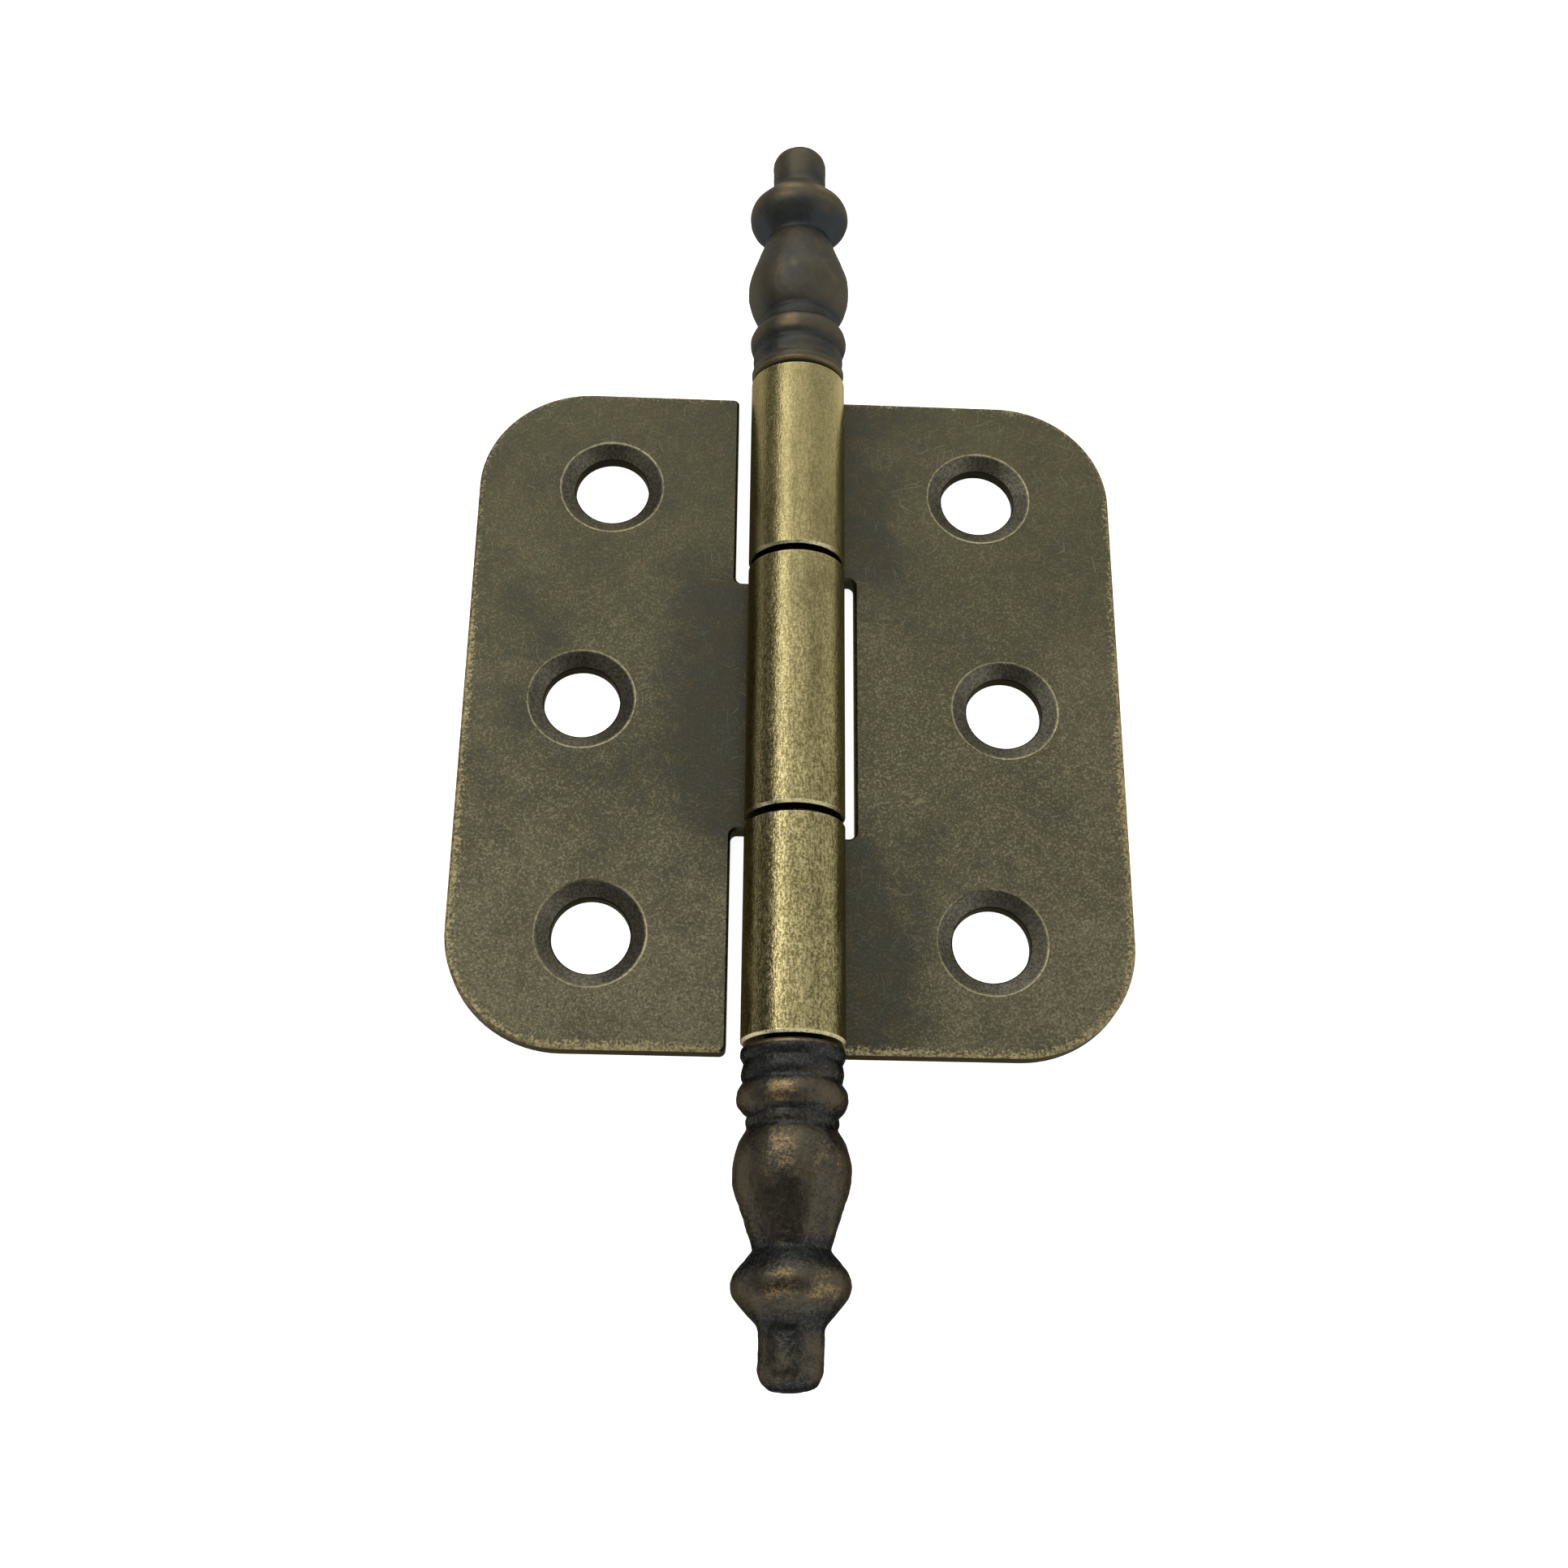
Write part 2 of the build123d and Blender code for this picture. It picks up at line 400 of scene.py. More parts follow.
# %% Where things are on a leaf
corner_radius = 8.0
countersink_radius = 3.7
centre_knuckle_end = 9.5
outer_knuckle_start = 9.95
mounts = {mount["name"]: mount for mount in frame["record"]["mounts"]}
end_holes = mounts["right_leaf_end_holes"]
middle_hole = mounts["right_leaf_middle_hole"]
end_hole_reach = end_holes["pos_m"][0] / MM
end_hole_height = end_holes["dims"]["spacing_y_mm"] / 2
middle_hole_reach = middle_hole["pos_m"][0] / MM
hole_radius = middle_hole["dims"]["r_mm"]
print(f"screw holes at {end_hole_reach:.1f} and {middle_hole_reach:.1f} mm from the pin")

# %% [markdown]
# The wear comes and goes softly over a leaf. Each change is kept as a pair of places in millimetres:
# where it starts, and where it is complete. Heights are counted along the pin from the middle of the
# barrel, reaches out from the pin, and levels up from its axis.

# %% Heights at which the wear changes
coarse_heights = (24.0, -16.0)  # the grain shows more strongly toward the lower end
bath_heights = (-3.0, -17.0)  # the bath's extra darkness is gone below
outer_heights = (14.0, 0.0)
lighter_heights = (-2.0, -20.0)
less_worn_heights = (-2.0, 18.0)

# %% Reaches at which the wear changes
beside_barrel = (11.5, 3.4)
own_side = (-1.0, 0.5)
far_side = (0.0, -0.8)
outer_strip = (15.0, 21.0)
edge_strip = (1.20, 0.05)  # in from the leaf's outline
flank_strip = (0.22, 0.10)
countersink_rim = (0.26, 0.17)  # from the rim's own circle
cone_wall = (countersink_radius - 0.01, countersink_radius - 0.10)
hole_wall = (hole_radius + 0.12, hole_radius + 0.03)

# %% Levels at which the wear changes
face_levels = (leaf_top - 0.26, leaf_top - 0.12)
flank_levels = (leaf_top - 0.17, leaf_top - 0.24)
cone_levels = (leaf_top - 0.95, leaf_top - 0.80)
back_levels = (0.24 - barrel_radius, 0.10 - barrel_radius)
off_back_levels = (0.3 - barrel_radius, 0.6 - barrel_radius)
rolled_levels = (leaf_top - 0.4, leaf_top + 0.25)

# %% Where the barrel's wear, painted shade and painted highlight change
barrel_skin_reach = (barrel_radius + 0.12, barrel_radius + 0.02)
inner_reach = (barrel_radius - 0.14, barrel_radius - 0.2)
shaded_left = (-1.9, -2.9)
highlit_right = (2.7, 3.2)
knuckle_rim = (0.26, 0.16)
print(f"the leaf's face lies {leaf_top:.2f} mm from the pin's axis")

# %% [markdown]
# Three distances tell a finish where it is: in from the leaf's rounded outline, out from the nearest
# screw hole, and out from the pin.

# %% Distances on a leaf
def outline_distance(finish, reach, height):
    """How far inside the leaf's rounded outline a point lies."""
    across = finish.math("SUBTRACT", reach, leaf_reach - corner_radius)
    along = finish.math("SUBTRACT", height, half_height - corner_radius)
    past_across = finish.math("MAXIMUM", across, 0.0)
    past_along = finish.math("MAXIMUM", along, 0.0)
    corner = finish.length(past_across, past_along)
    side = finish.math("MINIMUM", finish.math("MAXIMUM", across, along), 0.0)
    return finish.math("SUBTRACT", corner_radius, finish.math("ADD", corner, side))


def hole_distance(finish, reach, height):
    """How far a point lies from the middle of the nearest screw hole."""
    nearest = None
    for hole_reach, hole_height in ((end_hole_reach, end_hole_height), (middle_hole_reach, 0.0)):
        across = finish.math("SUBTRACT", reach, hole_reach)
        along = finish.math("SUBTRACT", height, hole_height)
        distance = finish.length(across, along)
        nearest = distance if nearest is None else finish.math("MINIMUM", nearest, distance)
    return nearest


def pin_distance(finish):
    """How far a point lies from the pin's axis."""
    return finish.length(finish.x, finish.z)


# %% [markdown]
# Hair scratches run in four directions. Each set is a noise drawn out into threads, of which only the
# thin peaks count, and a slower noise bends them and decides where there are any.

# %% Scratches
def scratches(finish, seed):
    """Stray hair scratches, as thin peaks of a drawn-out noise."""
    marks = None
    bend = finish.math("MULTIPLY", finish.noise(1.6, detail=1.0, shift=(seed, 0, 0)), 2.5)
    bent = finish.vector("ADD", finish.point, finish.vector("SCALE", (1.0, -0.7, 0.0), scale=bend))
    for number, turn in enumerate((0.25, 1.15, 1.75, 2.7)):
        shift = (seed + 5 * number, 2 * seed, 0)
        lines = finish.noise(0.05, detail=1.0, stretch=(26, 1, 1), shift=shift, turn=turn, point=bent)
        lines = finish.ramp(lines, 0.66, 0.75)
        marks = lines if marks is None else finish.math("MAXIMUM", marks, lines)
    where = finish.ramp(finish.noise(2.5, detail=2.0, shift=(0, 0, seed)), 0.35, 0.60)
    return finish.math("MULTIPLY", marks, where)


# %% [markdown]
# On the open face the bath's oxide lies in patches, with olive brass between them. Beside the leaf's
# own knuckle the face is darker, partly as oxide kept in the corner and partly as painted shade from
# the barrel. Bright and dark specks and the scratches come over that.

# %% The open face of a leaf
def leaf_flat(finish, reach, corner, specks, coarse, marks, bath, seed):
    """The open face of the leaf: olive brown with oxide patches, bright specks and scratches."""
    patches = finish.noise(4.0, detail=4.0, roughness=0.6, shift=(seed, 0, 0))
    cloud = finish.noise(1.0, detail=4.0, roughness=0.65, shift=(0, seed, 0))
    hue = finish.noise(0.45, detail=3.0, roughness=0.7, shift=(seed, 0, seed))
    worn = finish.math("MULTIPLY_ADD", cloud, 0.6, patches)
    low = finish.ramp(finish.y, *bath_heights)
    worn = finish.math("MULTIPLY_ADD", low, bath, finish.math("SUBTRACT", worn, bath))
    # The face is darker beside the leaf's own knuckle: partly oxide kept in the corner, partly painted
    # shade from the barrel.
    beside = finish.math("MULTIPLY", finish.ramp(reach, *beside_barrel), corner)
    beside = finish.math("MULTIPLY", beside, finish.ramp(reach, *own_side))
    beside = finish.math("MULTIPLY", beside, finish.ramp(finish.z, *off_back_levels))
    corner_darkening = finish.math("MULTIPLY_ADD", coarse, -0.15, -0.35)
    worn = finish.math("MULTIPLY_ADD", beside, corner_darkening, worn)
    open_metal = finish.ramp(worn, 0.30, 0.92)
    outer = finish.ramp(reach, *outer_strip)
    outer = finish.math("MULTIPLY", outer, finish.ramp(finish.y, *outer_heights))
    lighter = finish.ramp(finish.y, *lighter_heights)
    lighter = finish.math("MAXIMUM", finish.math("MULTIPLY", outer, 0.5), lighter)
    lighter = finish.math("MULTIPLY", lighter, open_metal)
    oxide = finish.blend(finish.ramp(cloud, 0.38, 0.62), green_oxide, brown_oxide)
    olive = finish.blend(finish.ramp(hue, 0.35, 0.65), olive_brass, green_brass)
    olive = finish.blend(finish.math("MULTIPLY", lighter, 0.95), olive, lighter_olive)
    colour = finish.blend(open_metal, oxide, olive)
    lift = finish.math("MULTIPLY_ADD", coarse, 0.70, 0.30)
    lift = finish.math("MULTIPLY", lift, finish.math("MULTIPLY_ADD", open_metal, 0.85, 0.15))
    speck_light = finish.math("MULTIPLY", finish.ramp(specks, 0.50, 0.72), lift)
    colour = finish.blend(finish.math("MULTIPLY", speck_light, 0.8), colour, worn_olive)
    speck_dark = finish.math("MULTIPLY", finish.ramp(specks, 0.47, 0.24), lift)
    colour = finish.blend(finish.math("MULTIPLY", speck_dark, 0.75), colour, oxide)
    mark_strength = finish.math("MULTIPLY_ADD", open_metal, 0.40, 0.35)
    return finish.blend(finish.math("MULTIPLY", marks, mark_strength), colour, scratch_brass), cloud


# %% [markdown]
# The tumbling rubs the oxide off the sheet's edge, in a ragged strip with flecks in it. A thin pale ring
# round each countersink is partly such wear and partly a painted highlight. The cones, the holes and
# the sheet's flanks stay dark.

# %% The edges and the countersinks of a leaf
def leaf_edges(finish, colour, reach, height, specks):
    """Bare brass on the edge, a pale countersink ring that is partly painted highlight, dark flanks."""
    inside = outline_distance(finish, reach, height)
    from_hole = hole_distance(finish, reach, height)
    ragged = finish.noise(0.16, detail=3.0, roughness=0.7)
    long_wear = finish.noise(2.6, detail=2.0)
    on_top = finish.ramp(finish.z, *face_levels)
    flecks = finish.math("MULTIPLY_ADD", specks, 0.9, ragged)
    near_edge = finish.math("MULTIPLY_ADD", finish.ramp(inside, *edge_strip), 0.72, flecks)
    near_edge = finish.math("MULTIPLY_ADD", long_wear, 0.5, near_edge)
    less_worn = finish.ramp(finish.y, *less_worn_heights)
    near_edge = finish.math("MULTIPLY_ADD", less_worn, -0.22, near_edge)
    on_back = finish.ramp(finish.z, *back_levels)
    on_face = finish.math("MAXIMUM", on_top, finish.math("MULTIPLY", on_back, 0.7))
    edge_wear = finish.math("MULTIPLY", finish.ramp(near_edge, 1.58, 2.06), on_face)
    gilt = finish.blend(finish.ramp(flecks, 0.80, 1.15), rubbed_brass, gilt_brass)
    colour = finish.blend(finish.math("MULTIPLY", edge_wear, 0.9), colour, gilt)
    # A pale ring round each countersink: partly wear, partly a painted highlight.
    rim = finish.math("ABSOLUTE", finish.math("SUBTRACT", from_hole, countersink_radius + 0.04))
    rim = finish.math("MULTIPLY_ADD", ragged, 0.20, rim)
    rim = finish.math("MULTIPLY_ADD", long_wear, 0.16, rim)
    rim_wear_and_highlight = finish.math("MULTIPLY", finish.ramp(rim, *countersink_rim), on_top)
    colour = finish.blend(finish.math("MULTIPLY", rim_wear_and_highlight, 0.9), colour, sink_rim_wear_and_highlight)
    cone = finish.blend(finish.ramp(specks, 0.35, 0.65), sink_shade, sink_light)
    sunk = finish.ramp(from_hole, *cone_wall)
    sunk = finish.math("MULTIPLY", sunk, finish.ramp(finish.z, *cone_levels))
    colour = finish.blend(sunk, colour, cone)
    throat = finish.ramp(from_hole, *hole_wall)
    colour = finish.blend(throat, colour, throat_black)
    flank = finish.ramp(finish.z, *flank_levels)
    flank = finish.math("MULTIPLY", flank, finish.ramp(inside, *flank_strip))
    flank = finish.math("MULTIPLY", flank, finish.math("SUBTRACT", 1.0, on_back))
    return finish.blend(flank, colour, flank_brown)


# %% [markdown]
# The knuckles stand proudest, so they are rubbed bright all over, with oxide left only in the pits of
# their grain and in a few long stains. The barrel's left side is painted darker as shade, and its right
# edge paler as a highlight. The rims are brighter still, partly worn and partly a painted highlight,
# and inside the roll, out to the knuckle ends near the pin, it is painted black as shade.

# %% The rolled knuckles
def barrel_skin(finish, from_pin, height, knuckle_ends, coarse, bath, seed):
    """The knuckles: bright brass with dark pits, more stained on the leaf that the bath left darker."""
    grain = finish.noise(0.085, detail=2.0, roughness=0.75, shift=(seed, 0, seed))
    drawn = finish.noise(0.075, detail=2.0, roughness=0.7, stretch=(1, 4, 1), shift=(0, seed, seed))
    mottle = finish.math("MULTIPLY_ADD", drawn, 0.8, grain)
    strength = finish.math("MULTIPLY_ADD", coarse, 0.50, 0.27)
    pits = finish.math("MULTIPLY", finish.ramp(mottle, 0.95, 0.72), strength)
    bright = finish.math("MULTIPLY", finish.ramp(mottle, 0.88, 1.08), strength)
    stain = finish.ramp(finish.noise(0.8, detail=3.0, stretch=(1, 3, 1), shift=(seed, seed, 0)), 0.45, 0.75)
    colour = finish.blend(pits, barrel_brass, barrel_pits_and_shade)
    colour = finish.blend(finish.math("MULTIPLY", bright, 0.8), colour, barrel_grain_and_highlight)
    colour = finish.blend(finish.math("MULTIPLY", stain, 0.35 + bath), colour, barrel_pits_and_shade)
    # The barrel's left side is painted darker, as shade.
    painted_left_shade = finish.ramp(finish.x, *shaded_left)
    colour = finish.blend(finish.math("MULTIPLY", painted_left_shade, 0.45), colour, barrel_pits_and_shade)
    # The barrel's right edge is painted paler, as a highlight.
    painted_right_highlight = finish.ramp(finish.x, *highlit_right)
    colour = finish.blend(finish.math("MULTIPLY", painted_right_highlight, 0.8), colour, barrel_grain_and_highlight)
    # The knuckle rims are paler: partly worn edges and partly a painted highlight.
    rim_gap = None
    for end in knuckle_ends:
        gap = finish.math("ABSOLUTE", finish.math("SUBTRACT", height, end))
        rim_gap = gap if rim_gap is None else finish.math("MINIMUM", rim_gap, gap)
    rim = finish.math("MULTIPLY", finish.ramp(rim_gap, *knuckle_rim), finish.ramp(grain, 0.25, 0.5))
    colour = finish.blend(finish.math("MULTIPLY", rim, 0.9), colour, knuckle_rim_wear_and_highlight)
    # Inside the roll and the knuckle ends near the pin are painted black, as shade.
    inner = finish.ramp(from_pin, *inner_reach)
    return finish.blend(inner, colour, bore_shade_black), mottle


# %% [markdown]
# One finish joins face, edges and knuckles. The two leaves are the same, but the left one came darker
# out of the bath, and each has its own seed, so that no speck or scratch repeats.

# %% The finish of a whole leaf
def dress(piece, material):
    """Gives a piece its finish, in place of any that it had."""
    piece.data.materials.clear()
    piece.data.materials.append(material)
    print(f"{piece.name}: {len(material.node_tree.nodes)} shader nodes")


def antiqued_brass(name, side, knuckle_ends, corner_heights, bath, seed):
    """The finish of one leaf. side is +1 or -1, knuckle_ends are the heights where knuckles stop, and
    corner_heights where the leaf meets its own knuckle, so that the corner is darker there, partly as
    oxide and partly as painted shade. bath says how much darker the whole leaf came out of the bath."""
    finish = Finish(name)
    reach = finish.math("MULTIPLY", finish.x, side)
    height = finish.math("ABSOLUTE", finish.y)
    from_pin = pin_distance(finish)
    fine = finish.noise(0.085, detail=2.0, roughness=0.7, shift=(seed, seed, 0))
    specks = finish.vary(fine, finish.grit(0.12), 0.30)
    coarse = finish.ramp(finish.y, *coarse_heights)
    marks = scratches(finish, seed)
    corner = finish.ramp(height, *corner_heights)
    flat, cloud = leaf_flat(finish, reach, corner, specks, coarse, marks, bath, seed)
    flat = leaf_edges(finish, flat, reach, height, specks)
    brass, mottle = barrel_skin(finish, from_pin, height, knuckle_ends, coarse, bath, seed)
    on_barrel = finish.ramp(from_pin, *barrel_skin_reach)
    exposed = finish.ramp(finish.z, *rolled_levels)
    exposed = finish.math("MAXIMUM", exposed, finish.ramp(reach, *far_side))
    rolled = finish.math("MULTIPLY", on_barrel, exposed)
    shader = finish.shader
    finish.put(finish.blend(rolled, flat, brass), shader.inputs["Base Color"])
    shader.inputs["Metallic"].default_value = 1.0
    shader.inputs["Specular Tint"].default_value = lacquer_tint
    dull = finish.math("MULTIPLY_ADD", cloud, 0.16, 0.32)
    soft = finish.math("MULTIPLY_ADD", coarse, -0.08, finish.math("MULTIPLY_ADD", mottle, 0.06, 0.19))
    gloss = finish.math("MULTIPLY_ADD", rolled, finish.math("SUBTRACT", soft, dull), dull)
    finish.put(gloss, shader.inputs["Roughness"])
    relief = finish.bump(specks, 0.012)
    relief = finish.bump(finish.math("MULTIPLY", mottle, rolled), 0.018, relief)
    relief = finish.bump(marks, -0.003, relief)
    finish.put(relief, shader.inputs["Normal"])
    return finish.material


dress(frame["nodes"]["right_leaf"], antiqued_brass(
    "right_leaf_antiqued", side=1, knuckle_ends=(outer_knuckle_start, half_height),
    corner_heights=(5.0, 12.0), bath=0.0, seed=11.0,
))
dress(frame["nodes"]["left_leaf"], antiqued_brass(
    "left_leaf_antiqued", side=-1, knuckle_ends=(centre_knuckle_end,),
    corner_heights=(15.0, 6.0), bath=0.13, seed=37.0,
))

# %% [markdown]
# The pin is plain drawn wire. Only a sliver of it shows, in the gaps between the knuckles, and it is
# coloured nearly black, as painted shade for those gaps.

# %% The pin finish
# The wire is coloured nearly black, as painted shade for the gaps between the knuckles.
wire_dark = (0.030, 0.029, 0.027)
wire_light = (0.070, 0.068, 0.064)
gap_shade_black = (0.020, 0.017, 0.013)


def drawn_wire():
    """Steel wire with fine lines along its length, nearly black as painted shade for the gaps."""
    finish = Finish("gap_shaded_wire")
    lines = finish.noise(0.06, detail=2.0, stretch=(1, 30, 1))
    stain = finish.noise(0.8, detail=3.0)
    steel = finish.blend(finish.ramp(lines, 0.35, 0.65), wire_dark, wire_light)
    steel = finish.blend(finish.ramp(stain, 0.4, 0.7), steel, gap_shade_black)
    finish.shader.inputs["Metallic"].default_value = 1.0
    finish.put(steel, finish.shader.inputs["Base Color"])
    finish.put(finish.math("MULTIPLY_ADD", stain, 0.3, 0.25), finish.shader.inputs["Roughness"])
    finish.put(finish.bump(lines, 0.004), finish.shader.inputs["Normal"])
    return finish.material


dress(frame["nodes"]["hinge_pin"], drawn_wire())

# %% [markdown]
# Each finial is a small casting: rings and a bead, a bulb, a flare and a button. On the real one the
# form comes from a turned pattern pressed into sand, so it is round, but its skin isn't smooth. A
# turned form is drawn here as half its outline and spun round the pin. The outline grows from one
# vertex: spin carries it round each arc, extrude takes it along each straight, and one last spin
# about the pin's axis makes the solid.

# %% Drawing an outline with spin and extrude
step_length = 0.13  # the length of one step of the outline, and of one step round the casting


def circle_centre(start, middle, end):
    """The centre of the circle through three points."""
    (ax, ay), (bx, by), (cx, cy) = start, middle, end
    d = 2 * (ax * (by - cy) + bx * (cy - ay) + cx * (ay - by))
    a, b, c = ax * ax + ay * ay, bx * bx + by * by, cx * cx + cy * cy
    x = (a * (by - cy) + b * (cy - ay) + c * (ay - by)) / d
    y = (a * (cx - bx) + b * (ax - cx) + c * (bx - ax)) / d
    return x, y


def arc_to(shape, tip, middle, end):
    """Spins the chain's last vertex through the middle point to the end."""
    start = (tip.co.x, tip.co.y)
    cx, cy = circle_centre(start, middle, end)
    first = atan2(start[1] - cy, start[0] - cx)
    half = (atan2(middle[1] - cy, middle[0] - cx) - first) % (2 * pi)
    whole = (atan2(end[1] - cy, end[0] - cx) - first) % (2 * pi)
    if half > whole:
        whole -= 2 * pi
    steps = max(3, round(abs(whole) * hypot(start[0] - cx, start[1] - cy) / step_length))
    swept = bmesh.ops.spin(
        shape, geom=[tip], cent=(cx, cy, 0), axis=(0, 0, 1), angle=whole, steps=steps, use_merge=False
    )
    return next(item for item in swept["geom_last"] if isinstance(item, bmesh.types.BMVert))


def line_to(shape, tip, end):
    """Extrudes the chain's last vertex in even steps to the end."""
    goal = Vector((end[0], end[1], 0))
    steps = max(1, round((goal - tip.co).length / step_length))
    stride = (goal - tip.co) / steps
    for _ in range(steps):
        tip = bmesh.ops.extrude_vert_indiv(shape, verts=[tip])["verts"][0]
        bmesh.ops.translate(shape, vec=stride, verts=[tip])
    return tip


# %% The finial's sizes
collar_foot_radius = 3.2
collar_radius = 3.38
ring_radius = 3.3
groove_radius = 3.13
bead_radius = 3.55
neck_radius = 2.87
neck_ring_radius = 3.0
bulb_radius = 3.75
waist_radius = 2.4
flare_radius = 3.72
flare_rounding = 1.45
button_radius = 2.0
button_foot_reach = 0.36  # how far the rounding at the button's foot runs each way
dome_middle = (0.56, finial_tip - 0.04)
dome_edge = (1.10, finial_tip - 0.16)
button_shoulder = (1.72, finial_tip - 0.58)
button_side = (button_radius, finial_tip - 1.3)
collar_end = finial_seat + 1.0
ring_end = collar_end + 1.3
bead_end = ring_end + 2.05
neck_end = bead_end + 0.85
bulb_widest = neck_end + 2.7
waist = bulb_widest + 4.75
flare_widest = waist + 2.15
flare_end = flare_widest + 2.45
button_foot_middle = (button_radius + 0.05, flare_end + 0.02)
print(f"finial from {finial_seat:.2f} to {finial_tip:.2f} mm along the pin")


def tangent_point(outside, centre, radius, turn):
    """Where a line from a point outside a circle touches it; turn is +1 or -1, for either side."""
    along = atan2(outside[1] - centre[1], outside[0] - centre[0])
    angle = along + turn * acos(radius / hypot(outside[0] - centre[0], outside[1] - centre[1]))
    return centre[0] + radius * cos(angle), centre[1] + radius * sin(angle)


# %% The finial's outline
def draw_finial(shape):
    """Half the finial's outline, from the middle of its tip round to the end of the pin's bore."""
    tip = bmesh.ops.create_vert(shape, co=(0, finial_tip, 0))["vert"][0]
    tip = arc_to(shape, tip, dome_middle, dome_edge)
    tip = arc_to(shape, tip, button_shoulder, button_side)
    tip = line_to(shape, tip, (button_radius, flare_end + button_foot_reach))
    rim_centre = (flare_radius - flare_rounding, flare_widest)
    rim_far = tangent_point((button_radius, flare_end), rim_centre, flare_rounding, -1)
    slope = Vector((rim_far[0] - button_radius, rim_far[1] - flare_end)).normalized()
    foot = (button_radius + slope.x * button_foot_reach, flare_end + slope.y * button_foot_reach)
    tip = arc_to(shape, tip, button_foot_middle, foot)
    tip = line_to(shape, tip, rim_far)
    rim_near = tangent_point((waist_radius, waist), rim_centre, flare_rounding, 1)
    tip = arc_to(shape, tip, (flare_radius, flare_widest), rim_near)
    tip = line_to(shape, tip, (waist_radius, waist))
    rise = bulb_radius - neck_radius
    shoulder_radius = ((bulb_widest - neck_end) ** 2 + rise**2) / (2 * rise)
    shoulder_centre = (bulb_radius - shoulder_radius, bulb_widest)
    taper_start = tangent_point((waist_radius, waist), shoulder_centre, shoulder_radius, -1)
    tip = line_to(shape, tip, taper_start)
    tip = arc_to(shape, tip, (bulb_radius, bulb_widest), (neck_radius, neck_end))
    for top, foot_radius, low, high in (
        (neck_ring_radius, neck_radius, bead_end, neck_end),
        (bead_radius, groove_radius, ring_end, bead_end),
        (ring_radius, groove_radius, collar_end, ring_end),
        (collar_radius, collar_foot_radius, finial_seat, collar_end),
    ):
        tip = arc_to(shape, tip, (top, (low + high) / 2), (foot_radius, low))
    tip = line_to(shape, tip, (pin_radius, finial_seat))
    tip = line_to(shape, tip, (pin_radius, pin_end))
    return line_to(shape, tip, (0, pin_end))


# %% [markdown]
# The castings are rubbed where they stand out. So before the spin, each vertex of the outline stores
# how far it stands out against its neighbours: once over a wide stretch, for the crests, and once over
# a short one, for the rims.

# %% Crests and rims
def mark_crests(shape, name, reach):
    """Stores on each vertex how far the outline stands out there, against the stretch round it."""
    layer = shape.verts.layers.float.new(name)
    chain = [(vertex.co.y, vertex.co.x, vertex) for vertex in shape.verts]
    for place, radius, vertex in chain:
        near = [other for spot, other, _ in chain if abs(spot - place) < reach and other > pin_radius]
        vertex[layer] = (radius - sum(near) / len(near)) if near else 0.0


# %% [markdown]
# A casting has no sharp inner corners, and sand leaves its skin lumpy. The creases are smoothed a few
# times, and then three waves of noise move the skin in and out.

# %% The skin of a casting
crease_reach = 0.4
crease_rounds = 4
lump_sizes = ((2.6, 0.09), (0.9, 0.035), (0.35, 0.035))  # the length and height of each wave
box_margin = 0.004  # how far the lumps stay inside the casting's widest circle
bore_margin = 0.02  # how close to the bore or the seat a vertex stays where it is
weld_distance = 0.002


def round_creases(shape):
    """Fills the sharp inner corners a little, as metal does when it is poured."""
    creases = (collar_end, ring_end, bead_end, neck_end, waist, flare_end)
    outside = [v for v in shape.verts if hypot(v.co.x, v.co.z) > pin_radius + 0.1]
    close = [v for v in outside if min(abs(abs(v.co.y) - crease) for crease in creases) < crease_reach]
    for _ in range(crease_rounds):
        bmesh.ops.smooth_vert(
            shape, verts=close, factor=0.5, use_axis_x=True, use_axis_y=True, use_axis_z=True
        )


def lump(shape, seed, depth_share):
    """Moves the skin in and out as a sand casting's is, but never past the casting's own box."""
    most = bulb_radius - box_margin
    for vertex in shape.verts:
        place = vertex.co
        from_pin = hypot(place.x, place.z)
        in_bore = from_pin < pin_radius + bore_margin and abs(place.y) < pin_end + bore_margin
        if in_bore or abs(place.y) < finial_seat + bore_margin:
            continue
        shifted = place + Vector((seed, 2 * seed, -seed))
        push = sum(height * noise.noise(shifted / wave) for wave, height in lump_sizes)
        moved = place + vertex.normal * push * depth_share
        spread = hypot(moved.x, moved.z)
        if spread > most:
            moved.x *= most / spread
            moved.z *= most / spread
        moved.y = max(-finial_tip, min(finial_tip, moved.y))
        vertex.co = moved


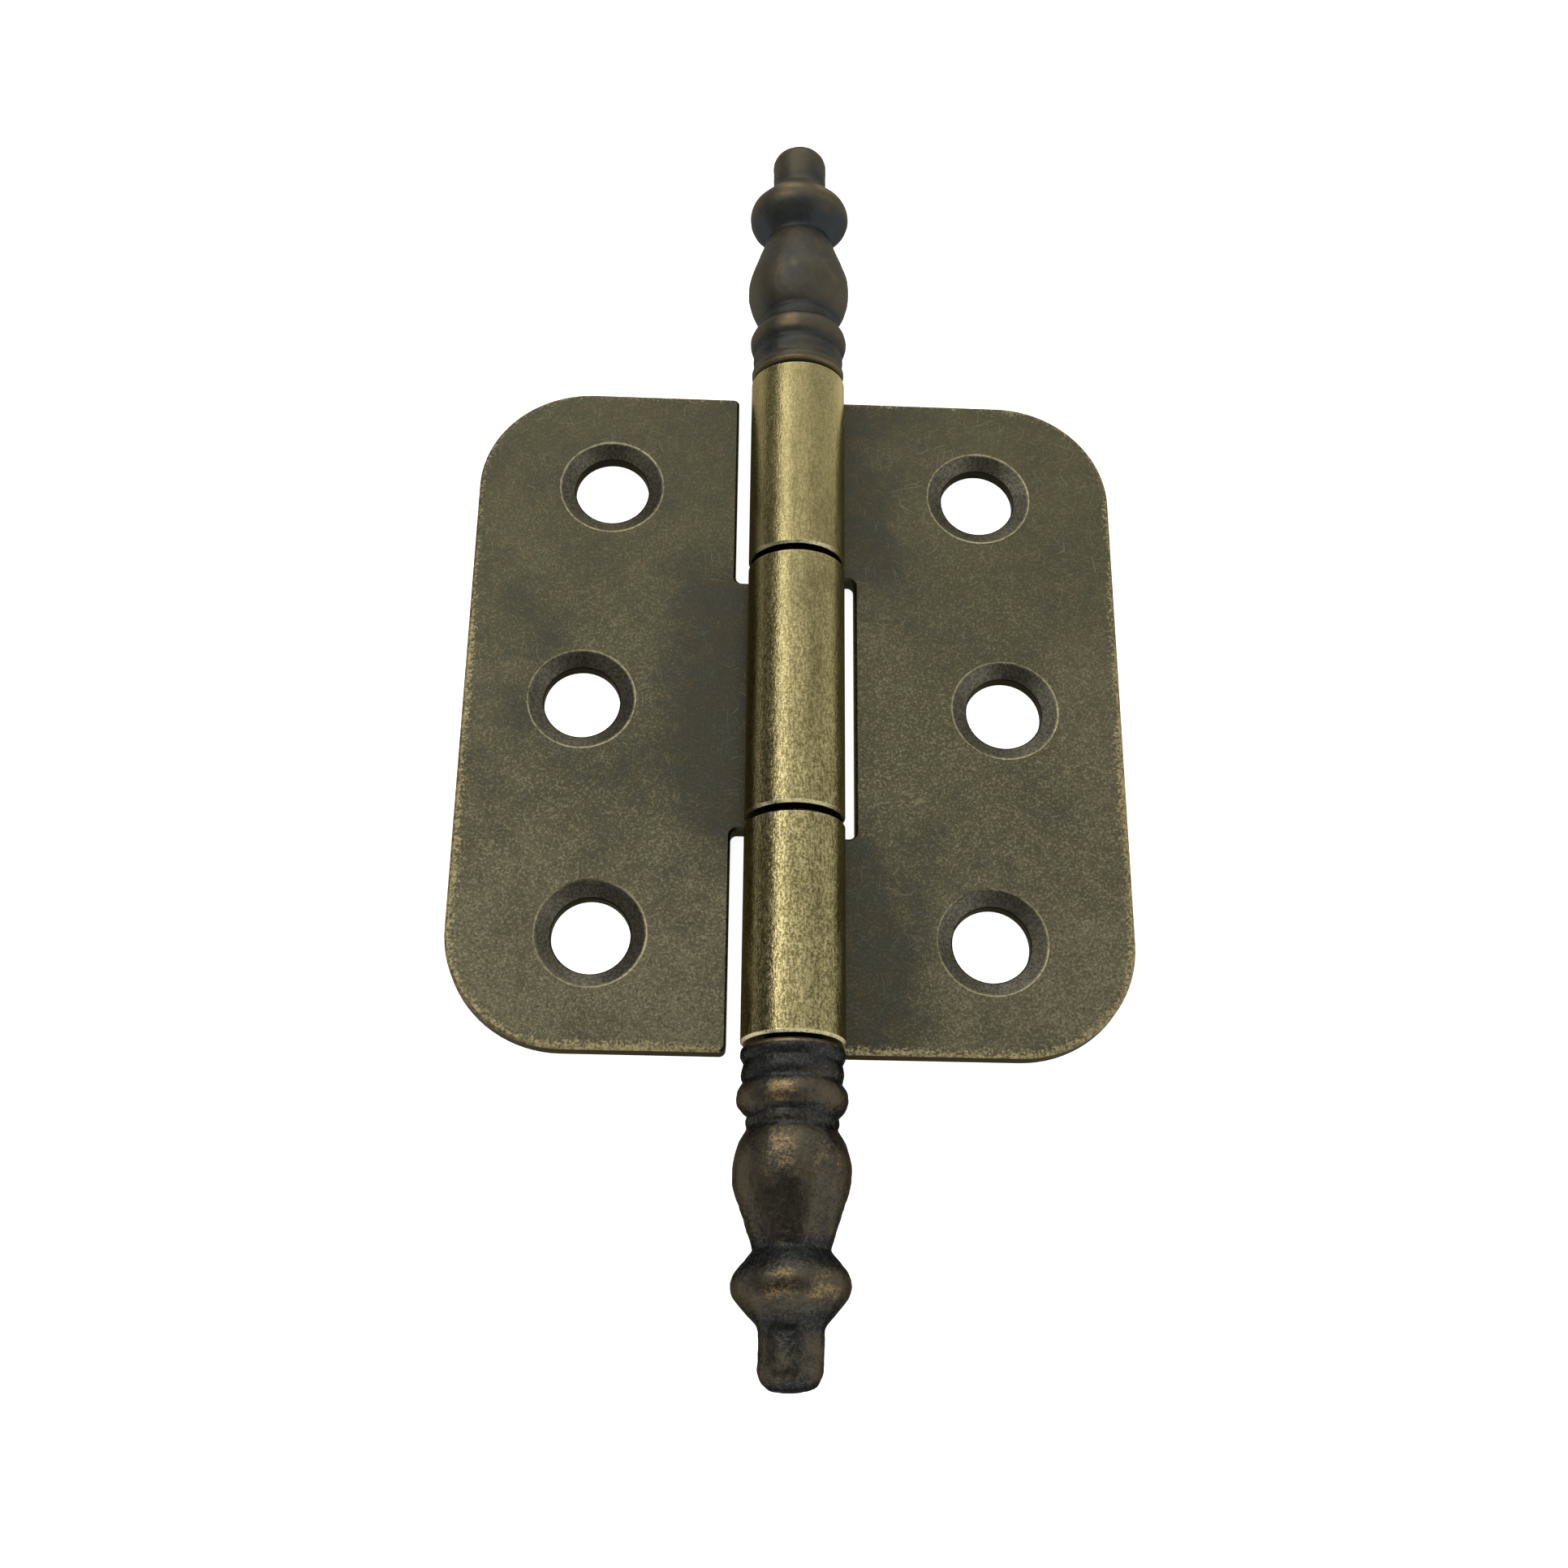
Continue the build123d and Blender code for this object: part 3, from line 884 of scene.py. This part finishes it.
# %% One finial
def cast_finial(name, node, end, seed, depth_share=1.0):
    """The casting at one end of the pin, +1 or -1: spun, rounded in its creases and lumped.
    depth_share is how much of the lumps' height it gets."""
    shape = bmesh.new()
    draw_finial(shape)
    mark_crests(shape, "crest", reach=1.3)
    mark_crests(shape, "rim", reach=0.6)
    around = round(2 * pi * bulb_radius / step_length)
    bmesh.ops.spin(
        shape, geom=shape.verts[:] + shape.edges[:], cent=(0, 0, 0), axis=(0, 1, 0),
        angle=2 * pi, steps=around, use_merge=True,
    )
    bmesh.ops.remove_doubles(shape, verts=shape.verts, dist=weld_distance)
    if end < 0:
        bmesh.ops.rotate(shape, cent=(0, 0, 0), matrix=Matrix.Rotation(pi, 3, "Z"), verts=shape.verts)
    bmesh.ops.recalc_face_normals(shape, faces=shape.faces)
    round_creases(shape)
    shape.normal_update()
    lump(shape, seed, depth_share)
    bmesh.ops.scale(shape, vec=(MM, MM, MM), verts=shape.verts)
    for face in shape.faces:
        face.smooth = True
    mesh = bpy.data.meshes.new(name)
    shape.to_mesh(mesh)
    shape.free()
    piece = bpy.data.objects.new(name, mesh)
    bpy.context.scene.collection.objects.link(piece)
    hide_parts(node)
    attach(piece, "pin")
    print(f"{name}: {len(mesh.polygons)} faces")
    return piece


# %% [markdown]
# The finials are the same brass, blackened much deeper. Hands have rubbed them through brown to bronze
# on the crests. They are rubbed to bronze most on the upper side, in a band on the left, a fainter one
# on the right and a patch on the bulb, which is partly wear and partly a painted highlight. The rims
# of the rings show bronze first, and a little bare metal is left at the edge of each seat. The seat
# face itself is a matt brown, painted to lighten the shade of the gap, and fine grey specks are
# painted glints of the sand's grain.

# %% Colours of the castings
glint_grey = (0.100, 0.102, 0.092)
seat_brass = (0.30, 0.235, 0.105)
seat_brown = (0.110, 0.082, 0.050)
upper_colours = ((0.048, 0.053, 0.054), (0.108, 0.094, 0.064), (0.230, 0.172, 0.095))
lower_colours = ((0.036, 0.038, 0.036), (0.112, 0.092, 0.058), (0.420, 0.290, 0.130))

# %% Where the castings are rubbed and painted with highlight, as shares of the way across from the pin's axis to the skin
left_band = (-0.75, -0.35)
left_band_end = (0.20, -0.15)
right_band = (0.10, 0.40)
right_band_end = (0.95, 0.65)

# %% Heights on the castings at which the wear changes
ring_heights = (ring_end - 0.3, ring_end + 0.5)
neck_heights = (neck_end, neck_end + 1.0)
bulb_start = (neck_end, neck_end + 0.6)
bulb_end = (waist, waist - 1.6)
hollow_start = (waist, waist + 0.4)
hollow_end = (flare_widest, flare_widest - 0.8)
tip_heights = (flare_end + 0.8, finial_tip - 0.8)
seat_heights = (finial_seat + 0.04, finial_seat + 0.01)
print(f"the bulb is widest at {bulb_widest:.2f} mm and the flare at {flare_widest:.2f} mm")

# %% The finial finish
def blackened_cast(
    name, seed, colours, rubbed, foot_wear, bulb_wear, bulb_patch, grainy, dull, edge_tint
):
    """Blackened cast brass, whose three colours go from black through brown to bronze. rubbed raises
    the wear all over, foot_wear on the rings and, half as much, at the button's foot, and bulb_wear on
    the bulb. bulb_patch is the height at which the bulb is rubbed most, on the upper side as a painted
    highlight too, grainy is how strongly the sand's grain and its painted glints show, dull is the
    least roughness, and edge_tint is how bright the metal stays where it turns away."""
    finish = Finish(name)
    black, brown, bronze = colours
    crest = finish.stored("crest")
    rim = finish.ramp(finish.stored("rim"), 0.0, 0.07)
    height = finish.math("ABSOLUTE", finish.y)
    patches = finish.noise(1.3, detail=3.0, roughness=0.5, shift=(seed, 0, 0))
    specks = finish.noise(0.10, detail=3.0, roughness=0.8, shift=(0, seed, 0))
    grains = finish.grit(0.10, shift=(seed, seed, 0))
    past_rings = finish.ramp(height, *ring_heights)
    past_rings = finish.math("MAXIMUM", past_rings, foot_wear)
    at_tip = finish.ramp(height, *tip_heights)
    across = finish.math("DIVIDE", finish.x, finish.math("MAXIMUM", pin_distance(finish), 0.5))
    on_left = finish.ramp(across, *left_band)
    on_left = finish.math("MULTIPLY", on_left, finish.ramp(across, *left_band_end))
    on_right = finish.ramp(across, *right_band)
    on_right = finish.math("MULTIPLY", on_right, finish.ramp(across, *right_band_end))
    past_neck = finish.ramp(height, *neck_heights)
    on_right = finish.math("MULTIPLY", finish.math("MULTIPLY", on_right, past_neck), 0.75)
    # The bronze is kept to the upper side and to a band on each side: partly wear, partly a painted
    # highlight.
    rubbed_and_lit_side = finish.math("MAXIMUM", on_left, on_right)
    rubbed_and_lit_side = finish.math("MULTIPLY", rubbed_and_lit_side, finish.ramp(finish.z, 0.0, 1.0))
    rub = finish.vary(rubbed, patches, 1.1)
    rub = finish.math("MULTIPLY_ADD", finish.math("ADD", crest, 0.30), past_rings, rub)
    rub = finish.math("MULTIPLY_ADD", at_tip, 0.22, rub)
    on_bulb = finish.ramp(height, *bulb_start)
    on_bulb = finish.math("MULTIPLY", on_bulb, finish.ramp(height, *bulb_end))
    rub = finish.math("MULTIPLY_ADD", on_bulb, bulb_wear, rub)
    button_foot = finish.math("ABSOLUTE", finish.math("SUBTRACT", height, flare_end - 0.5))
    rub = finish.math("MULTIPLY_ADD", finish.ramp(button_foot, 1.2, 0.5), foot_wear * 0.5, rub)
    under_flare = finish.ramp(height, *hollow_start)
    under_flare = finish.math("MULTIPLY", under_flare, finish.ramp(height, *hollow_end))
    rub = finish.math("MULTIPLY_ADD", under_flare, -0.35, rub)
    rub = finish.vary(rub, specks, 1.4 * grainy)
    rub = finish.vary(rub, grains, 0.20 * grainy)
    from_patch = finish.math("ABSOLUTE", finish.math("SUBTRACT", height, bulb_patch))
    patch = finish.math("MULTIPLY", finish.ramp(from_patch, 2.8, 0.2), 1.15 - 0.2 * grainy)
    bronze_wear_and_highlight = finish.math("MULTIPLY", rim, finish.math("SUBTRACT", 1.0, on_bulb))
    bronze_wear_and_highlight = finish.math("MAXIMUM", bronze_wear_and_highlight, patch)
    bronze_wear_and_highlight = finish.math("MULTIPLY", finish.math("MULTIPLY", bronze_wear_and_highlight, rubbed_and_lit_side), past_rings)
    ragged = finish.noise(0.35, detail=3.0, roughness=0.6, shift=(seed, seed, seed))
    rub = finish.vary(rub, ragged, 0.8 * grainy)
    bare = finish.math("MULTIPLY_ADD", bronze_wear_and_highlight, 0.70, rub)
    bare = finish.vary(bare, ragged, 0.4)
    bare = finish.vary(bare, specks, 1.2 * grainy)
    colour = finish.blend(finish.ramp(rub, 0.25, 0.95), black, brown)
    colour = finish.blend(finish.ramp(bare, 1.20, 1.90), colour, bronze)
    # Grey specks are painted glints of the sand's grain.
    painted_glints = finish.ramp(finish.math("MULTIPLY_ADD", grains, 0.5, specks), 0.70, 1.02)
    colour = finish.blend(finish.math("MULTIPLY", painted_glints, 0.6 * grainy), colour, glint_grey)
    seat_edge = finish.math("MULTIPLY_ADD", patches, 0.2, finial_seat + 0.14)
    seat_wear = finish.ramp(finish.math("SUBTRACT", height, seat_edge), 0.06, -0.02)
    seat_wear = finish.math("MULTIPLY", seat_wear, finish.math("MULTIPLY_ADD", rubbed_and_lit_side, 0.6, 0.4))
    seat_wear = finish.math("MULTIPLY", seat_wear, finish.ramp(specks, 0.30, 0.50))
    colour = finish.blend(seat_wear, colour, seat_brass)
    # The seat face is a matt brown, painted to lighten the shade in the gap.
    seat_face_lightened = finish.ramp(height, *seat_heights)
    colour = finish.blend(seat_face_lightened, colour, seat_brown)
    shader = finish.shader
    finish.put(finish.math("MULTIPLY_ADD", seat_face_lightened, -0.8, 1.0), shader.inputs["Metallic"])
    shader.inputs["Specular Tint"].default_value = (edge_tint, edge_tint, edge_tint, 1)
    finish.put(colour, shader.inputs["Base Color"])
    finish.put(finish.math("MULTIPLY_ADD", patches, 0.2, dull), shader.inputs["Roughness"])
    relief = finish.bump(specks, 0.045 * grainy)
    relief = finish.bump(grains, 0.02 * grainy, relief)
    finish.put(relief, shader.inputs["Normal"])
    return finish.material


# %% [markdown]
# Both castings come from one pattern. The upper one is smoother and duller, with its foot rubbed. The
# lower one kept more of the sand's grain and is rubbed to brighter bronze, partly a painted highlight.

# %% Both finials
upper = cast_finial("cast_upper_finial", "upper_finial", end=1, seed=3.0, depth_share=0.5)
dress(upper, blackened_cast(
    "upper_finial_blackened", seed=5.0, colours=upper_colours, rubbed=0.33, foot_wear=0.7, bulb_wear=0.05,
    bulb_patch=bulb_widest + 0.4, grainy=0.06, dull=0.42, edge_tint=0.5,
))
lower = cast_finial("cast_lower_finial", "lower_finial", end=-1, seed=8.0)
dress(lower, blackened_cast(
    "lower_finial_blackened", seed=9.0, colours=lower_colours, rubbed=0.30, foot_wear=0.0, bulb_wear=0.10,
    bulb_patch=bulb_widest - 0.8, grainy=0.9, dull=0.26, edge_tint=0.25,
))
